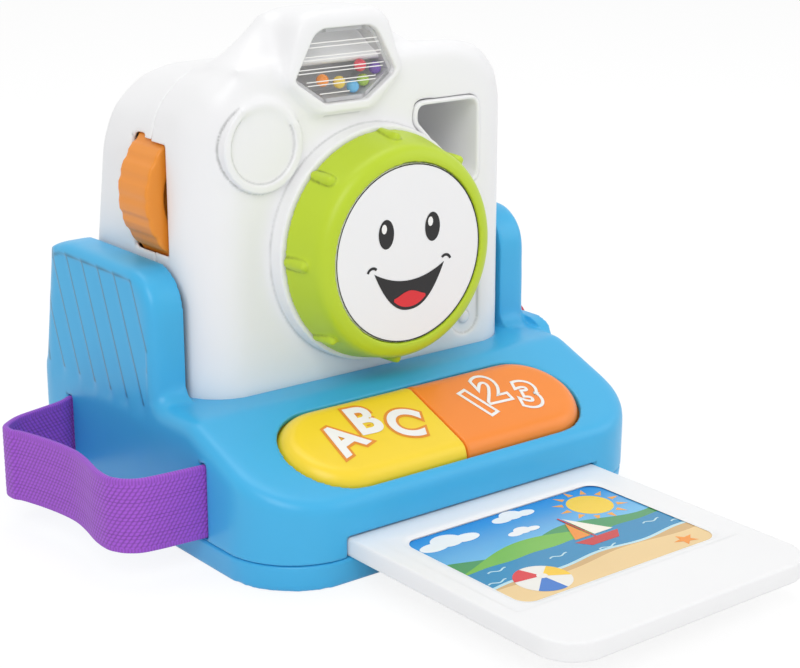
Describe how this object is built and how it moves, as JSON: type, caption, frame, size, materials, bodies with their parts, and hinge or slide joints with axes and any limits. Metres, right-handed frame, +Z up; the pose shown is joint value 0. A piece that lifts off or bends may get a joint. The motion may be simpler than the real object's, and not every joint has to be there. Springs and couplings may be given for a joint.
{
  "type": "toy camera",
  "caption": "White toy camera in a blue base with a turning green lens, a pair of push buttons, a sliding picture card, a side roller and a purple strap.",
  "frame": {"origin": "underside of the base, at the middle of its footprint, without the card and the strap", "axes": "+Z up, front with the lens and the card towards -Y, +X to the right seen from the front"},
  "size_m": [0.1949, 0.2387, 0.1619],
  "materials": {
    "blue_plastic": "satin",
    "white_plastic": "satin",
    "green_plastic": "satin",
    "orange_plastic": "satin",
    "yellow_plastic": "satin",
    "button_orange": "satin",
    "red_plastic": "satin",
    "purple_webbing": "woven",
    "print": "satin",
    "grey_plastic": "matte",
    "dark_plastic": "matte",
    "board": "satin",
    "steel": "brushed",
    "clear_plastic": "clear",
    "bead_orange": "gloss",
    "bead_yellow": "gloss",
    "bead_red": "gloss",
    "bead_purple": "gloss",
    "bead_blue": "gloss",
    "bead_green": "gloss"
  },
  "bodies": {
    "camera": {"base_bottom_cover": "blue_plastic", "base_upper_housing": "blue_plastic", "base_screws": "steel", "battery_door": "blue_plastic", "battery_door_screw": "steel", "battery_cells": "dark_plastic", "battery_contacts": "steel", "card_rails": "grey_plastic", "circuit_board": "board", "board_screws": "steel", "button_switches": "dark_plastic", "strap": "purple_webbing", "strap_clips": "grey_plastic", "power_switch_body": "dark_plastic", "deck_screws": "steel", "front_shell": "white_plastic", "rear_shell": "white_plastic", "body_screws": "steel", "speaker": "dark_plastic", "viewfinder_tunnel": "white_plastic", "flash_chamber": "grey_plastic", "flash_window": "clear_plastic", "flash_lamp": "board", "bead_orange": "bead_orange", "bead_yellow": "bead_yellow", "bead_red": "bead_red", "bead_purple": "bead_purple", "bead_blue": "bead_blue", "bead_green": "bead_green", "lens_click_spring": "steel", "roller_axle": "steel"},
    "card": {"print_card": "white_plastic", "card_picture": "print"},
    "yellow_button": {"yellow_button": "yellow_plastic"},
    "orange_button": {"orange_button": "button_orange"},
    "lens": {"lens_ring": "green_plastic", "lens_face_disc": "white_plastic", "lens_ratchet": "grey_plastic", "lens_screw": "steel"},
    "roller": {"roller_wheel": "orange_plastic"},
    "power_knob": {"power_switch_knob": "red_plastic"}
  },
  "joints": [
    {"name": "card_slide", "type": "slide", "parent": "camera", "child": "card", "axis": [0, 1, 0], "range_m": [0, 0.078]},
    {"name": "yellow_press", "type": "slide", "parent": "camera", "child": "yellow_button", "axis": [0, 0.3697, -0.9291], "range_m": [0, 0.0025], "stiffness_N_per_m": 700},
    {"name": "orange_press", "type": "slide", "parent": "camera", "child": "orange_button", "axis": [0, 0.3697, -0.9291], "range_m": [0, 0.0025], "stiffness_N_per_m": 700},
    {"name": "lens_turn", "type": "hinge", "parent": "camera", "child": "lens", "pos_m": [0, -0.0169, 0.0867], "axis": [0, 1, 0], "continuous": true},
    {"name": "roller_spin", "type": "hinge", "parent": "camera", "child": "roller", "pos_m": [-0.0458, 0.0119, 0.1051], "axis": [0, 1, 0], "continuous": true},
    {"name": "power_slide", "type": "slide", "parent": "camera", "child": "power_knob", "axis": [0, -1, 0], "range_m": [0, 0.008]}
  ]
}
